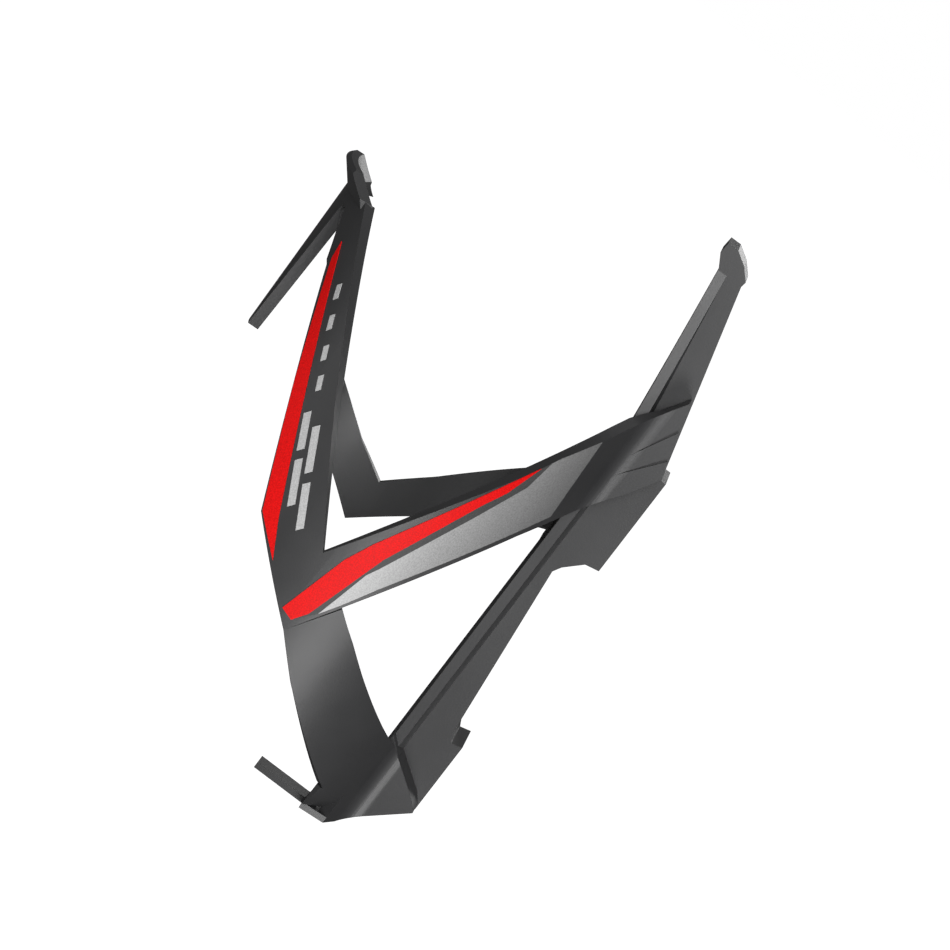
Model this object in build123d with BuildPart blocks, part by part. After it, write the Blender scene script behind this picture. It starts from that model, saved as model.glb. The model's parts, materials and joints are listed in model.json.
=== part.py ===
"""Bottle cage for a bicycle frame: a moulded spine that bolts to the frame tube, a hooked fin
above it, a broad arm and a thin arm round the bottle, a finger in front and a foot below.

Millimetres. +Z runs up the bottle's axis, the frame tube is towards +Y and the drive side is +X.
The origin is midway between the two frame bolts, on the face that rests on the tube.
"""
from build123d import *
from math import atan2, cos, radians, sin
import os

os.makedirs("parts", exist_ok=True)

# ---- driving dimensions -------------------------------------------------------------------
BOTTLE_DIAMETER = 73.5    # bottle that the cage grips
BOTTLE_CLEARANCE = 0.25   # between the bottle and the arms, on the radius
BOTTLE_STANDOFF = 11.0    # frame tube face to the bottle's back
WALL = 2.4                # arms, hub and finger
FOOT_WALL = 1.4           # foot and tongue
FILM = 0.15               # printed decoration

BOLT_SPACING = 64.0       # the usual pitch of bottle bosses
BOLT_SLOT_WIDTH = 5.4     # M5 bolt with clearance
BOLT_SLOT_LENGTH = 9.0    # lets the cage slide a little along the tube
BOLT_HEAD_WIDTH = 9.4     # well for the bolt's head, with clearance
PAD_THICKNESS = 3.6       # what each bolt clamps
PAD_OUTSIDE = 11.0        # pad beyond the bolt centre, at the spine's two ends
LOWER_PAD_INSIDE = 5.6    # pad beyond the bolt centre, towards the middle
UPPER_PAD_INSIDE = 11.5

PLATE_WIDTH = 23.2        # front plate that the bottle lies against
PLATE_WALL = 2.0
BODY_WIDTH = 13.6         # pads and the web between them
STRUT_LOW_GAP = 3.4       # web's back to the frame tube, at its lower end
STRUT_HIGH_GAP = 7.4      # and at its upper end

FIN_HEIGHT = 40.5         # above the spine's top end
FIN_LEAN = 10.4           # the fin's back leans this far over the bottle
FIN_FRONT_LEAN = 6.6      # and its front this far
FIN_TOP_WIDTH = 12.6

HUB_HEIGHT = 50.5         # where the legs and the finger leave the front hub
LIP_FLARE = 3.4           # how far the lip stands out
LIP_HEIGHT = 4.4
VEE_HEIGHT = -1.6         # inside corner between the near leg and its band
ELBOW_HEIGHT = -19.2      # outside corner, where the lower leg starts

BACK_ANGLE = 150.0        # where an arm leaves the round and runs straight to the spine
FOOT_BEND = 8.0           # outside radius of the bend under the lower leg
FLOOR_DEPTH = 8.4         # bottle floor below the spine's lower end
TONGUE_WIDTH = 4.6
TONGUE_X = 13.2           # the tongue's far edge
TONGUE_REACH = 31.8       # the tongue's tip, from the frame tube

# ---- worked out from them -----------------------------------------------------------------
R_IN = BOTTLE_DIAMETER / 2 + BOTTLE_CLEARANCE
R_OUT = R_IN + WALL
BOTTLE_Y = -(BOTTLE_STANDOFF + R_IN)
BOLT = BOLT_SPACING / 2
TOP = BOLT + PAD_OUTSIDE
BOTTOM = -TOP
FLOOR = BOTTOM - FLOOR_DEPTH
UNDER = FLOOR - FOOT_WALL
CREASE = HUB_HEIGHT + 2.4
PLATE_SIDE = PLATE_WIDTH / 2
BODY_SIDE = BODY_WIDTH / 2
ROOT_X = PLATE_SIDE + WALL  # outside of an arm's root on the spine's flank
FAR_AWAY = 3 * BOTTLE_DIAMETER


def around(angle, height):
    """Side view of a point on an arm's outer round: angle from the front, and height."""
    return (BOTTLE_Y - R_OUT * cos(radians(angle)), height)


def prism(outline, plane, amount, mode=Mode.ADD, both=False):
    """Extrudes a straight-sided outline inside the current part."""
    with BuildSketch(plane, mode=Mode.PRIVATE) as drawn:
        with BuildLine():
            Polyline(*outline, close=True)
        make_face()
    extrude(drawn.sketch, amount=amount, both=both, mode=mode)


# ---- side outlines of the arms ------------------------------------------------------------
near_leg_right = [(35, CREASE + 1.8), (72, VEE_HEIGHT + 22.4)]
near_band_top = [(93, VEE_HEIGHT - 0.4), (130, TOP - 9.2)]
near_root = [(-6.3, TOP + 17.0), (-2.6, TOP + 4.0), (-1.6, TOP + 1.6), (-5.2, TOP - 4.6)]
near_band_low = [(140, TOP - 22.5), (97, ELBOW_HEIGHT)]
near_leg_left = [(71.6, ELBOW_HEIGHT + 15.9), (25.6, HUB_HEIGHT), (12, CREASE)]
NEAR_ARM = (
    [around(*p) for p in near_leg_right + near_band_top]
    + near_root
    + [around(*p) for p in near_band_low + near_leg_left]
)

far_leg_top = [(16, HUB_HEIGHT), (40, VEE_HEIGHT + 31), (58, VEE_HEIGHT + 14.5), (78, VEE_HEIGHT + 4)]
far_band_top = [(91, VEE_HEIGHT - 1.4), (106, VEE_HEIGHT + 8), (135, TOP - 19.6)]
far_root = [(-9.0, TOP - 8.6), (-4.0, TOP - 5.6), (-4.0, TOP - 14.6), (-9.0, TOP - 24.6)]
far_band_low = [(135, TOP - 33.6), (109, VEE_HEIGHT - 1.6)]
far_leg_low = [
    (89, VEE_HEIGHT - 12.4),
    (72, VEE_HEIGHT - 3.4),
    (51, VEE_HEIGHT + 14),
    (26, VEE_HEIGHT + 35),
    (4, HUB_HEIGHT),
]
FAR_ARM = (
    [around(*p) for p in far_leg_top + far_band_top]
    + far_root
    + [around(*p) for p in far_band_low + far_leg_low]
)

lower_leg_top = [
    (97, ELBOW_HEIGHT),
    (107, ELBOW_HEIGHT + 10.0),
    (116, ELBOW_HEIGHT + 5.1),
    (125, ELBOW_HEIGHT),
    (140, BOTTOM + 16.8),
]
lower_leg_root = [(-9.5, BOTTOM + 9.0), (-1.9, BOTTOM + 3.4), (-0.3, BOTTOM + 1.4), (-12.0, UNDER + 0.6)]
lower_leg_root += [around(BACK_ANGLE, UNDER)]
BEND_TOP = UNDER + FOOT_BEND  # where the lower leg starts to turn under the bottle
lower_leg_left = [
    (BACK_ANGLE, BEND_TOP),
    (139, BEND_TOP),
    (107.6, ELBOW_HEIGHT - 8.1),
]
LOWER_LEG = (
    [around(*p) for p in lower_leg_top]
    + lower_leg_root
    + [around(*p) for p in lower_leg_left]
)


# ---- shells -------------------------------------------------------------------------------
BACK = (R_OUT * sin(radians(BACK_ANGLE)), around(BACK_ANGLE, 0)[0])
BACK_WAY = (cos(radians(BACK_ANGLE)), sin(radians(BACK_ANGLE)))
root_run = (BACK[0] - ROOT_X) / -BACK_WAY[0]
ROOT_CORNER = (ROOT_X, BACK[1] + root_run * BACK_WAY[1])
ROOT_BLEND = 5.0          # radius between the straight run and the root


def side_blank(outline, side):
    """The solid behind an arm's outer skin, cut to its side outline; side is +1 near, -1 far."""
    with BuildPart() as blank:
        prism(outline, Plane.YZ, side * 2 * R_OUT)
        with BuildSketch(Plane.XY.offset(-FAR_AWAY)):
            with BuildLine():
                CenterArc((0, BOTTLE_Y), R_OUT, -90, BACK_ANGLE)
                FilletPolyline(BACK, ROOT_CORNER, (ROOT_X, WALL), radius=ROOT_BLEND)
                Polyline((ROOT_X, WALL), (0, WALL), (0, BOTTLE_Y - R_OUT))
            make_face()
            if side < 0:
                mirror(about=Plane.YZ, mode=Mode.REPLACE)
        extrude(amount=2 * FAR_AWAY, mode=Mode.INTERSECT)
    return blank.part


def skins(blank, kinds=(GeomType.CYLINDER, GeomType.PLANE)):
    """The outer faces of a blank: the round, and the run and root behind it."""
    found = []
    for face in blank.faces():
        spot = face.center()
        if face.geom_type in kinds and abs(face.normal_at(spot).X) > 0.2 and abs(spot.X) > 1.0:
            found.append(face)
    return found


def arm_shell(outline, side):
    """An arm of even wall with square-cut borders, filled solid where it joins the spine."""
    behind = [(-PLATE_WALL - BOTTLE_STANDOFF, -FAR_AWAY), (WALL, -FAR_AWAY)]
    behind += [(y, FAR_AWAY) for y, z in reversed(behind)]
    blank = side_blank(outline, side)
    with BuildPart() as shell:
        add(blank)
        prism(behind, Plane.YZ.offset(side * BODY_SIDE), side * (ROOT_X - BODY_SIDE), Mode.INTERSECT)
        for face in skins(blank):
            thicken(face, amount=-WALL)
    return shell.part


def film(outline):
    """A printed patch on the round of the near arm."""
    with BuildPart() as patch:
        for face in skins(side_blank([around(*p) for p in outline], 1), (GeomType.CYLINDER,)):
            thicken(face, amount=FILM)
    return patch.part


def sector(height, angle_from, angle_to):
    """A piece of a ring about the bottle, as a level face."""
    turn = angle_to - angle_from
    with BuildSketch(Plane.XY.offset(height)) as piece:
        with BuildLine():
            outer = CenterArc((0, BOTTLE_Y), R_OUT, angle_from - 90, turn)
            inner = CenterArc((0, BOTTLE_Y), R_IN, angle_from - 90, turn)
            Line(outer @ 0, inner @ 0)
            Line(outer @ 1, inner @ 1)
        make_face()
    return piece.sketch.face()


# ---- spine --------------------------------------------------------------------------------
body_side = [
    (0, BOTTOM),
    (0, -BOLT + LOWER_PAD_INSIDE),
    (-2.4, -BOLT + LOWER_PAD_INSIDE - 0.6),
    (-STRUT_LOW_GAP, -BOLT + LOWER_PAD_INSIDE + 1.4),
    (-STRUT_HIGH_GAP, BOLT - UPPER_PAD_INSIDE - 5.8),
    (-STRUT_HIGH_GAP + 1.0, BOLT - UPPER_PAD_INSIDE - 4.0),
    (-3.0, BOLT - UPPER_PAD_INSIDE - 0.6),
    (0, BOLT - UPPER_PAD_INSIDE),
    (0, TOP),
    (-BOTTLE_STANDOFF - WALL, TOP),
    (-BOTTLE_STANDOFF - WALL, FLOOR),
    (-0.8 * BOTTLE_STANDOFF, FLOOR),
]
with BuildPart() as spine:
    prism(body_side, Plane.YZ, BODY_SIDE, both=True)
    with BuildSketch(Plane.XY.offset(FLOOR)):
        with Locations((0, BOTTLE_Y)):
            Circle(R_IN + PLATE_WALL)
        with Locations((0, -BOTTLE_STANDOFF)):
            Rectangle(PLATE_WIDTH, BOTTLE_DIAMETER / 4, mode=Mode.INTERSECT)
    extrude(amount=TOP - FLOOR)
    with BuildSketch(Plane.XY.offset(FLOOR)):
        with Locations((0, BOTTLE_Y)):
            Circle(R_IN)
    extrude(amount=TOP - FLOOR, mode=Mode.SUBTRACT)
    for bolt in (-BOLT, BOLT):
        with BuildSketch(Plane.XZ):
            with Locations((0, bolt)):
                SlotOverall(BOLT_SLOT_LENGTH, BOLT_SLOT_WIDTH, rotation=90)
        extrude(amount=2 * BOTTLE_STANDOFF, mode=Mode.SUBTRACT)
        with BuildSketch(Plane.XZ.offset(PAD_THICKNESS)):
            with Locations((0, bolt)):
                SlotOverall(
                    BOLT_HEAD_WIDTH + BOLT_SLOT_LENGTH - BOLT_SLOT_WIDTH,
                    BOLT_HEAD_WIDTH,
                    rotation=90,
                )
        extrude(amount=2 * BOTTLE_STANDOFF, mode=Mode.SUBTRACT)
spine.part.label = "spine"

# ---- fin ----------------------------------------------------------------------------------
FIN_TOP = TOP + FIN_HEIGHT
back_root = -1.2
back_top = back_root - FIN_LEAN
front_top = -BOTTLE_STANDOFF - FIN_FRONT_LEAN
fin_side = [
    (back_root, TOP),
    (back_top - 0.4, FIN_TOP),
    (back_top - 0.2, FIN_TOP + 1.2),
    (front_top - 0.9, FIN_TOP + 1.2),
    (-BOTTLE_STANDOFF - 6.0, TOP),
]
lip_side = [
    (back_top - 0.2, FIN_TOP + 1.2),
    (back_top - 2.4, FIN_TOP + 3.6),
    (back_top - 5.2, FIN_TOP + 5.4),
    (back_top - 7.6, FIN_TOP + 5.4),
    (back_top - 7.8, FIN_TOP + 3.0),
    (front_top, FIN_TOP),
    (back_top - 0.4, FIN_TOP),
]


def narrowing(root_width, top_width):
    """Front view of a piece of the fin, from its root's width to its top's."""
    half = [(root_width / 2, TOP), (top_width / 2, FIN_TOP), (top_width / 2, FAR_AWAY)]
    return half + [(-x, z) for x, z in reversed(half)]


lean = atan2(FIN_FRONT_LEAN, FIN_HEIGHT)
leaning = Plane(
    origin=(0, BOTTLE_Y, TOP),
    x_dir=(1, 0, 0),
    z_dir=(0, -sin(lean), cos(lean)),
)
with BuildPart() as fin:
    prism(fin_side, Plane.YZ, PLATE_SIDE, both=True)
    with BuildSketch(leaning.offset(-FIN_HEIGHT)):
        Circle(R_IN + PLATE_WALL)
    extrude(amount=3 * FIN_HEIGHT, mode=Mode.INTERSECT)
    prism(narrowing(PLATE_WIDTH, FIN_TOP_WIDTH), Plane.XZ.offset(-WALL), FAR_AWAY, Mode.INTERSECT)
    with BuildSketch(Plane.YZ, mode=Mode.PRIVATE) as profile:
        with BuildLine():
            Polyline(*fin_side, close=True)
        make_face()
    with BuildSketch(Plane.XZ.offset(-WALL), mode=Mode.PRIVATE) as face_on:
        with BuildLine():
            Polyline(*narrowing(BODY_WIDTH, FIN_TOP_WIDTH), close=True)
        make_face()
    body = extrude(profile.sketch, amount=BODY_SIDE, both=True, mode=Mode.PRIVATE)
    body &= extrude(face_on.sketch, amount=FAR_AWAY, mode=Mode.PRIVATE)
    add(body)
    with BuildSketch(leaning.offset(-FIN_HEIGHT)):
        Circle(R_IN)
    extrude(amount=3 * FIN_HEIGHT, mode=Mode.SUBTRACT)
    prism(lip_side, Plane.YZ, FIN_TOP_WIDTH / 2, both=True)
fin.part.label = "fin"

# ---- arms ---------------------------------------------------------------------------------
near_blend = ROOT_CORNER[1] + 1.0
GROOVES = [
    [(near_blend, TOP + 1.5), (-4.6, TOP + 12.4), (-4.3, TOP + 11.6)],
    [(near_blend, TOP - 3.4), (-2.8, TOP + 6.4), (-2.5, TOP + 5.6)],
]
GROOVE_DEPTH = 0.6
with BuildPart() as near_arm:
    add(arm_shell(NEAR_ARM, 1))
    add(spine.part, mode=Mode.SUBTRACT)
    add(fin.part, mode=Mode.SUBTRACT)
    for groove in GROOVES:
        prism(groove, Plane.YZ.offset(ROOT_X - GROOVE_DEPTH), WALL, Mode.SUBTRACT)
near_arm.part.label = "near_arm"

with BuildPart() as lower_leg:
    add(arm_shell(LOWER_LEG, 1))
    add(spine.part, mode=Mode.SUBTRACT)
lower_leg.part.label = "lower_leg"

with BuildPart() as far_arm:
    add(arm_shell(FAR_ARM, -1))
    add(spine.part, mode=Mode.SUBTRACT)
far_arm.part.label = "far_arm"

# ---- front hub with its lip, and the finger -----------------------------------------------
HUB_ANGLE = 25.0          # the hub faces this far round from the front
lip_top = CREASE + LIP_HEIGHT
hub_profile = [
    (R_IN, HUB_HEIGHT),
    (R_OUT, HUB_HEIGHT),
    (R_OUT, CREASE),
    (R_OUT + LIP_FLARE, lip_top),
    (R_OUT + LIP_FLARE - WALL / 3, lip_top + WALL / 3),
    (R_OUT + LIP_FLARE - WALL, lip_top + WALL / 3),
    (R_IN, CREASE + WALL / 3),
]


def across(angle, height):
    """A point of the hub's front view, which looks along HUB_ANGLE."""
    return (R_OUT * sin(radians(angle - HUB_ANGLE)), height)


hub_front_view = [
    across(-17, HUB_HEIGHT),
    across(-10, CREASE),
    across(-3, lip_top + WALL),
    across(8, lip_top + WALL),
    across(25, lip_top + 1.2),
    across(35, CREASE + 1.8),
    across(35, HUB_HEIGHT),
]
facing = (sin(radians(HUB_ANGLE)), -cos(radians(HUB_ANGLE)), 0)
profile_plane = Plane(origin=(0, BOTTLE_Y, 0), x_dir=facing, z_dir=(-facing[1], facing[0], 0))
with BuildPart() as front_hub:
    prism_plane = Plane(origin=(0, BOTTLE_Y, 0), x_dir=(-facing[1], facing[0], 0), z_dir=facing)
    with BuildSketch(Plane(origin=(0, BOTTLE_Y, 0), x_dir=(1, 0, 0), z_dir=(0, -1, 0))):
        with BuildLine():
            Polyline(*hub_profile, close=True)
        make_face()
    revolve(axis=Axis((0, BOTTLE_Y, 0), (0, 0, 1)))
    prism(hub_front_view, prism_plane, FAR_AWAY, Mode.INTERSECT)
    add(near_arm.part, mode=Mode.SUBTRACT)
front_hub.part.label = "front_hub"

FINGER_LENGTH = 32.2
with BuildPart() as finger:
    loft([
        sector(HUB_HEIGHT, -3, 22.5),
        sector(HUB_HEIGHT - FINGER_LENGTH, 3, 12.5),
    ])
finger.part.label = "finger"

# ---- foot ---------------------------------------------------------------------------------
BEND_START = 138.0        # the bend runs from here round to BACK_ANGLE
bend_r = R_OUT - FOOT_BEND
BEND_FRONT = BACK[1] - 5.8
foot_plan = [
    (TONGUE_X, -TONGUE_REACH),
    (TONGUE_X + TONGUE_WIDTH, -TONGUE_REACH),
    (TONGUE_X + TONGUE_WIDTH, BEND_FRONT),
    (bend_r * sin(radians(BEND_START)), BEND_FRONT),
    BACK,
    (BODY_SIDE, -BOTTLE_STANDOFF),
    (-PLATE_SIDE, -BOTTLE_STANDOFF),
    (-PLATE_SIDE, -BOTTLE_STANDOFF - 6.0),
    (TONGUE_X, -BOTTLE_STANDOFF - 7.0),
]
bend_side = [(0, UNDER), (0, BEND_TOP), (BEND_FRONT, BEND_TOP), (BEND_FRONT, UNDER)]
start_way = (sin(radians(BEND_START)), -cos(radians(BEND_START)), 0)
bend_plane = Plane(origin=(0, BOTTLE_Y, 0), x_dir=start_way, z_dir=(start_way[1], -start_way[0], 0))
with BuildPart() as foot:
    with BuildSketch(bend_plane):
        with BuildLine():
            outer = CenterArc((bend_r, BEND_TOP), FOOT_BEND, -90, 90)
            inner = CenterArc((bend_r, BEND_TOP), FOOT_BEND - WALL, -90, 90)
            Line(outer @ 0, inner @ 0)
            Line(outer @ 1, inner @ 1)
        make_face()
    revolve(axis=Axis((0, BOTTLE_Y, 0), (0, 0, 1)), revolution_arc=BACK_ANGLE - BEND_START)
    prism(bend_side, Plane.YZ, R_OUT, Mode.INTERSECT)
    prism(foot_plan, Plane.XY.offset(UNDER), FOOT_WALL)
    add(lower_leg.part, mode=Mode.SUBTRACT)
    add(spine.part, mode=Mode.SUBTRACT)
foot.part.label = "foot"

# ---- printed decoration on the near arm, as angle from the front and height ----------------
stripe_edge = [(97.0, -16.6), (100.0, -13.6), (108.0, 3.7), (122.0, 22.8), (126.5, 27.6), (131.0, 35.0)]
panel_edge = [(102.2, -12.5), (106.6, -0.8), (108.6, 1.7), (123.4, 21.2), (131.0, 30.4), (133.0, 36.8)]
BAND_STRIPE = [(93.0, -15.6), (99.0, -0.6), (103.0, 5.2)] + stripe_edge[::-1]
PINLINE = stripe_edge + panel_edge[::-1]
BAND_PANEL = panel_edge + [(135.0, 38.6), (145.0, 45.0), (147.0, 26.8), (112.0, -1.9), (106.0, -8.6)]
LEG_STRIPE = [
    (37.0, 46.0),
    (38.0, 42.2),
    (55.5, 20.2),
    (72.0, -3.0),
    (83.0, -9.3),
    (77.0, -1.9),
    (59.0, 22.4),
]

# slanted strokes and small ticks, each from its lower end: angle, height, height gained, width
STROKES = [(84.6, -0.4, 8.0, 1.5), (78.6, 2.2, 8.0, 1.5), (77.0, 9.4, 8.0, 1.5), (71.1, 11.8, 6.5, 1.5)]
TICKS = [(64.4, 22.6, 2.6, 1.1), (59.9, 27.6, 2.6, 1.1), (55.2, 32.7, 2.6, 1.1), (50.4, 37.9, 2.6, 1.1)]
MARK_LEAN = 0.78          # degrees forward for each millimetre up
MARK_SKEW = 0.9           # millimetres up for each degree across


def stroke(angle, height, rise, width):
    """A slanted stroke's outline on the round of the near arm."""
    top = angle - rise * MARK_LEAN
    skew = width * MARK_SKEW
    left = [(top - width, height + rise - skew), (angle - width, height - skew)]
    return [(angle, height), (top, height + rise)] + left


with BuildPart() as leg_stripe:
    add(film(LEG_STRIPE))
leg_stripe.part.label = "leg_stripe"

with BuildPart() as band_stripe:
    add(film(BAND_STRIPE))
band_stripe.part.label = "band_stripe"

with BuildPart() as pinline:
    add(film(PINLINE))
pinline.part.label = "pinline"

with BuildPart() as band_panel:
    add(film(BAND_PANEL))
band_panel.part.label = "band_panel"

with BuildPart() as marks:
    for mark in STROKES + TICKS:
        add(film(stroke(*mark)))
marks.part.label = "marks"

for piece in (
    spine, fin, near_arm, lower_leg, far_arm, front_hub, finger, foot,
    leg_stripe, band_stripe, pinline, band_panel, marks,
):
    export_step(piece.part, f"parts/{piece.part.label}.step")
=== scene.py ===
import json
from math import cos, radians, sin

import bpy
from mathutils import Matrix, Vector


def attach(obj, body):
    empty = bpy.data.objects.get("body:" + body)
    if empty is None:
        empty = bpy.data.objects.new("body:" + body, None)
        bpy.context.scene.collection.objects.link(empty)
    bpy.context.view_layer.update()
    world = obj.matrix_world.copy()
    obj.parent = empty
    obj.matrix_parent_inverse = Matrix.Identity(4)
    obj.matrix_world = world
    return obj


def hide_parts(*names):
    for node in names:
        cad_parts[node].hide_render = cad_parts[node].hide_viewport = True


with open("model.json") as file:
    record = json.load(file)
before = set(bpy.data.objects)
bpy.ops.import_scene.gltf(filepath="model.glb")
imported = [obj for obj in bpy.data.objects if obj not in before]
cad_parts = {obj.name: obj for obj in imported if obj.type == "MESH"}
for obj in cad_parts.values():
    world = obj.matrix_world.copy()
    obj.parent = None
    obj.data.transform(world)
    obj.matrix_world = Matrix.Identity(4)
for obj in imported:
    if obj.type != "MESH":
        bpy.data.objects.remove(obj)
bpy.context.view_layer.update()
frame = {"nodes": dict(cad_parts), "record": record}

# Studio scene of a bicycle bottle cage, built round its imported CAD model. Metres.
nodes = frame["nodes"]
MM = 0.001

# ---- camera -------------------------------------------------------------------------------
LOOK_AT = Vector((0, -31.6, 19.5)) * MM
DISTANCE = 600 * MM
ELEVATION = radians(12.6)
ROLL = radians(37.0)
LENS = 111.6
SENSOR = 36
WHITE = (1, 1, 1, 1)
ROOM_GLOW = 0.08


# Softboxes: name, place, size and power in watts.
SOFTBOXES = [
    ("key", (0.95, 0.10, 0.42), 0.45, 9.0),
    ("low", (0.80, 0.45, -0.35), 0.45, 5.5),
    ("front", (0.55, -0.85, 0.05), 0.40, 1.4),
    ("top", (-0.10, -0.10, 1.00), 0.25, 1.6),
    ("back", (-0.90, 0.30, 0.35), 0.50, 2.5),
]


def add_camera():
    """Looks at the drive side from a little above, rolled so that the cage leans forward."""
    away = Vector((cos(ELEVATION), 0, sin(ELEVATION)))
    level = Vector((0, 0, 1)).cross(away).normalized()
    upright = away.cross(level)
    right = cos(ROLL) * level + sin(ROLL) * upright
    up = cos(ROLL) * upright - sin(ROLL) * level
    data = bpy.data.cameras.new("camera")
    data.lens = LENS
    data.sensor_width = SENSOR
    data.clip_start = 0.05
    camera = bpy.data.objects.new("camera", data)
    bpy.context.scene.collection.objects.link(camera)
    turn = Matrix((right, up, away)).transposed().to_4x4()
    camera.matrix_world = Matrix.Translation(LOOK_AT + away * DISTANCE) @ turn
    bpy.context.scene.camera = camera


def add_softbox(name, place, size, watts):
    """A square softbox that faces the cage."""
    data = bpy.data.lights.new(name, "AREA")
    data.shape = "SQUARE"
    data.size = size
    data.energy = watts
    lamp = bpy.data.objects.new(name, data)
    bpy.context.scene.collection.objects.link(lamp)
    lamp.location = place
    lamp.rotation_euler = (LOOK_AT - Vector(place)).to_track_quat("-Z", "Y").to_euler()


def add_studio():
    """White surroundings to look at, dim surroundings to be lit by, and the softboxes."""
    world = bpy.data.worlds.new("studio")
    bpy.context.scene.world = world
    world.use_nodes = True
    tree = world.node_tree
    tree.nodes.clear()
    path = tree.nodes.new("ShaderNodeLightPath")
    dim = tree.nodes.new("ShaderNodeBackground")
    dim.inputs["Color"].default_value = WHITE
    dim.inputs["Strength"].default_value = ROOM_GLOW
    bright = tree.nodes.new("ShaderNodeBackground")
    bright.inputs["Color"].default_value = WHITE
    bright.inputs["Strength"].default_value = 1.0
    mix = tree.nodes.new("ShaderNodeMixShader")
    out = tree.nodes.new("ShaderNodeOutputWorld")
    tree.links.new(path.outputs["Is Camera Ray"], mix.inputs[0])
    tree.links.new(dim.outputs[0], mix.inputs[1])
    tree.links.new(bright.outputs[0], mix.inputs[2])
    tree.links.new(mix.outputs[0], out.inputs[0])
    for softbox in SOFTBOXES:
        add_softbox(*softbox)


def shader(name):
    """A new material with its Principled shader; returns the material, nodes, links, shader."""
    material = bpy.data.materials.new(name)
    material.use_nodes = True
    tree = material.node_tree
    return material, tree.nodes, tree.links, tree.nodes["Principled BSDF"]


NOISE_LOW = 0.3           # where the noise's useful range starts and ends
NOISE_HIGH = 0.7
PRINT_GRAIN = 3600
MOULD_GRAIN = 3200
MOULD_CLOUDS = 38


def grain(n, links, scale, detail):
    """Fine noise fixed to the object, as a 0 to 1 value."""
    coords = n.new("ShaderNodeTexCoord")
    noise = n.new("ShaderNodeTexNoise")
    noise.inputs["Scale"].default_value = scale
    noise.inputs["Detail"].default_value = detail
    links.new(coords.outputs["Object"], noise.inputs["Vector"])
    return noise.outputs["Fac"]


def between(n, links, value, low, high):
    """Maps a 0 to 1 value onto low to high."""
    spread = n.new("ShaderNodeMapRange")
    spread.inputs["From Min"].default_value = NOISE_LOW
    spread.inputs["From Max"].default_value = NOISE_HIGH
    spread.inputs["To Min"].default_value = low
    spread.inputs["To Max"].default_value = high
    links.new(value, spread.inputs["Value"])
    return spread.outputs["Result"]


def two_tones(n, links, value, dark, light):
    """Blends two colours by a 0 to 1 value."""
    ramp = n.new("ShaderNodeValToRGB")
    ramp.color_ramp.elements[0].position = NOISE_LOW
    ramp.color_ramp.elements[0].color = (*dark, 1)
    ramp.color_ramp.elements[1].position = NOISE_HIGH
    ramp.color_ramp.elements[1].color = (*light, 1)
    links.new(value, ramp.inputs["Fac"])
    return ramp.outputs["Color"]


def relief(n, links, bsdf, value, depth):
    """Raises the surface a little by a 0 to 1 value."""
    bump = n.new("ShaderNodeBump")
    bump.inputs["Strength"].default_value = 0.35
    bump.inputs["Distance"].default_value = depth
    links.new(value, bump.inputs["Height"])
    links.new(bump.outputs["Normal"], bsdf.inputs["Normal"])


def composite():
    """Satin moulded composite: fine grain, slow changes of tone and of polish."""
    material, n, links, bsdf = shader("composite")
    fine = grain(n, links, MOULD_GRAIN, 2.0)
    slow = grain(n, links, MOULD_CLOUDS, 3.0)
    tone = two_tones(n, links, slow, (0.022, 0.022, 0.023), (0.033, 0.033, 0.034))
    links.new(tone, bsdf.inputs["Base Color"])
    links.new(between(n, links, slow, 0.42, 0.52), bsdf.inputs["Roughness"])
    bsdf.inputs["Coat Weight"].default_value = 0.12
    bsdf.inputs["Coat Roughness"].default_value = 0.25
    relief(n, links, bsdf, fine, 0.00004)
    return material


def printed(name, dark, light, rough):
    """Printed film with a fine grain."""
    material, n, links, bsdf = shader(name)
    fine = grain(n, links, PRINT_GRAIN, 3.0)
    links.new(two_tones(n, links, fine, dark, light), bsdf.inputs["Base Color"])
    links.new(between(n, links, fine, rough, rough + 0.12), bsdf.inputs["Roughness"])
    bsdf.inputs["Specular IOR Level"].default_value = 0.2
    relief(n, links, bsdf, fine, 0.00002)
    return material


def silver_print_with_painted_shade():
    """Printed silver with a fine metallic grain, and painted shade that darkens it towards the frame
    tube, where the surface turns away from the lights.
    """
    material, n, links, bsdf = shader("silver_print")
    fine = grain(n, links, PRINT_GRAIN, 3.0)
    coords = n.new("ShaderNodeTexCoord")
    axes = n.new("ShaderNodeSeparateXYZ")
    links.new(coords.outputs["Object"], axes.inputs["Vector"])
    # Painted shade: towards the frame tube the print's colour is blended into a darker copy of
    # itself, standing in for the surface turning away from the lights.
    back = n.new("ShaderNodeMapRange")
    back.inputs["From Min"].default_value = -0.040
    back.inputs["From Max"].default_value = -0.014
    links.new(axes.outputs["Y"], back.inputs["Value"])
    painted_shade_blend = n.new("ShaderNodeMix")
    painted_shade_blend.data_type = "RGBA"
    links.new(back.outputs["Result"], painted_shade_blend.inputs["Factor"])
    light = two_tones(n, links, fine, (0.34, 0.34, 0.34), (0.50, 0.50, 0.50))
    dark = two_tones(n, links, fine, (0.09, 0.09, 0.09), (0.14, 0.14, 0.14))
    links.new(light, painted_shade_blend.inputs[6])
    links.new(dark, painted_shade_blend.inputs[7])
    links.new(painted_shade_blend.outputs[2], bsdf.inputs["Base Color"])
    links.new(between(n, links, fine, 0.38, 0.5), bsdf.inputs["Roughness"])
    relief(n, links, bsdf, fine, 0.00002)
    return material


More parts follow.
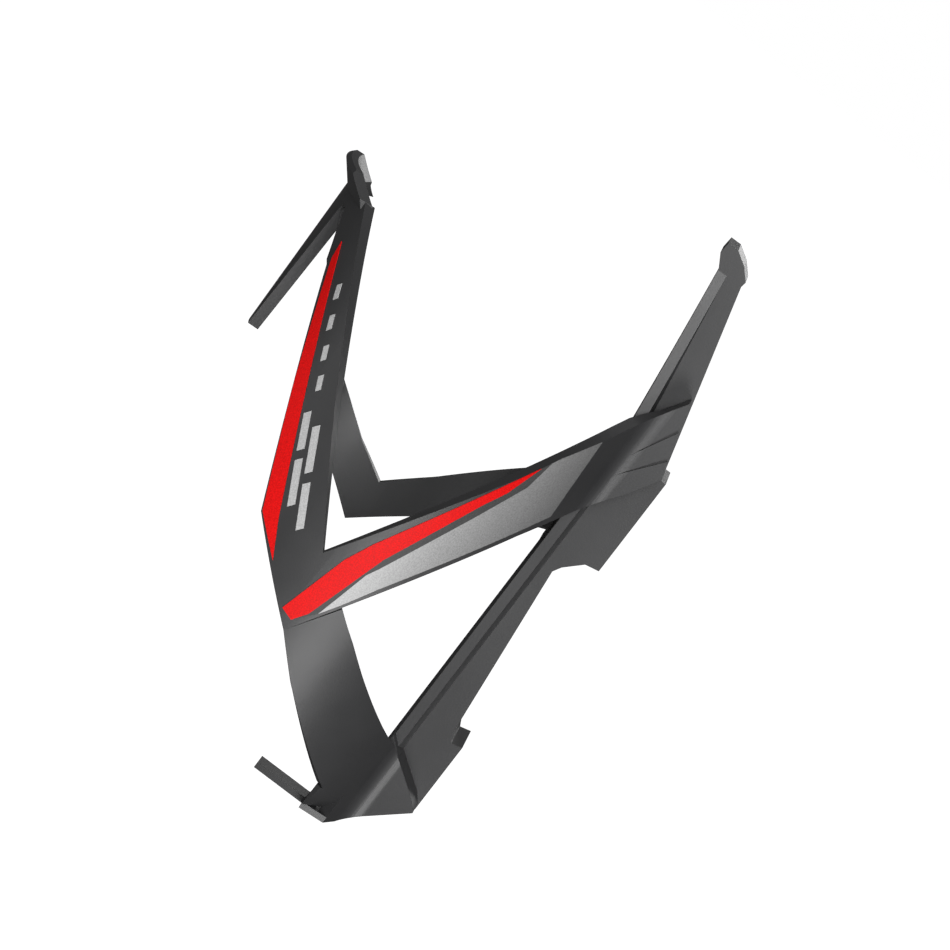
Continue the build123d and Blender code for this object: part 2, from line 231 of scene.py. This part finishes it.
COMPOSITE = composite()
RED = printed("red_print", (0.50, 0.0, 0.0), (0.78, 0.002, 0.002), 0.5)
SILVER_WITH_PAINTED_SHADE = silver_print_with_painted_shade()
GREY = printed("grey_print", (0.045, 0.045, 0.045), (0.065, 0.065, 0.065), 0.4)
slot_material = {"composite": COMPOSITE, "red_print": RED, "silver_print": SILVER_WITH_PAINTED_SHADE, "grey_print": GREY}
for part in frame["record"]["subparts"]:
    mesh = nodes[part["node"]].data
    mesh.materials.clear()
    mesh.materials.append(slot_material[part["material_slot"]])


# ---- moulded body -------------------------------------------------------------------------
BODY_NODES = ["spine", "fin", "near_arm", "lower_leg", "far_arm", "front_hub", "finger", "foot"]


WELD = 0.02 * MM          # corners closer than this become one
EDGE_SOFTNESS = 0.55 * MM
FLAT_WITHIN = radians(1.0)
BEVEL_FROM = radians(28)
SMOOTH_WITHIN = radians(24)


def moulded_body():
    """One moulding made of every composite piece, with softened edges."""
    copies = []
    for name in BODY_NODES:
        twin = nodes[name].copy()
        twin.data = nodes[name].data.copy()
        twin.parent = None
        twin.matrix_world = nodes[name].matrix_world
        bpy.context.scene.collection.objects.link(twin)
        copies.append(twin)
    body = copies[0]
    body.name = "moulded_body"
    for other in copies[1:]:
        bpy.ops.object.select_all(action="DESELECT")
        bpy.context.view_layer.objects.active = body
        body.select_set(True)
        union = body.modifiers.new("union", "BOOLEAN")
        union.operation = "UNION"
        union.solver = "EXACT"
        union.object = other
        bpy.ops.object.modifier_apply(modifier="union")
        bpy.data.objects.remove(other, do_unlink=True)
    bpy.ops.object.mode_set(mode="EDIT")
    bpy.ops.mesh.select_all(action="SELECT")
    bpy.ops.mesh.remove_doubles(threshold=WELD)
    bpy.ops.mesh.dissolve_limited(angle_limit=FLAT_WITHIN)
    bpy.ops.object.mode_set(mode="OBJECT")
    soften = body.modifiers.new("soften", "BEVEL")
    soften.width = EDGE_SOFTNESS
    soften.segments = 3
    soften.limit_method = "ANGLE"
    soften.angle_limit = BEVEL_FROM
    soften.harden_normals = True
    bpy.ops.object.shade_smooth_by_angle(angle=SMOOTH_WITHIN)
    level = body.modifiers.new("level", "WEIGHTED_NORMAL")
    level.keep_sharp = True
    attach(body, "root")
    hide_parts(*BODY_NODES)


def add_floor():
    bpy.ops.mesh.primitive_plane_add(size=30, location=(0, 0, -0.6))
    floor = bpy.context.object
    floor.name = "floor"
    material, n, links, bsdf = shader("floor_pale")
    bsdf.inputs["Base Color"].default_value = (0.9, 0.9, 0.9, 1)
    bsdf.inputs["Emission Color"].default_value = (1, 1, 1, 1)
    bsdf.inputs["Emission Strength"].default_value = 1.0
    floor.data.materials.append(material)
    floor.visible_diffuse = False
    floor.visible_glossy = False


bpy.context.scene.view_settings.view_transform = "Standard"
bpy.ops.object.select_all(action="DESELECT")
add_camera()
add_studio()
add_floor()
moulded_body()
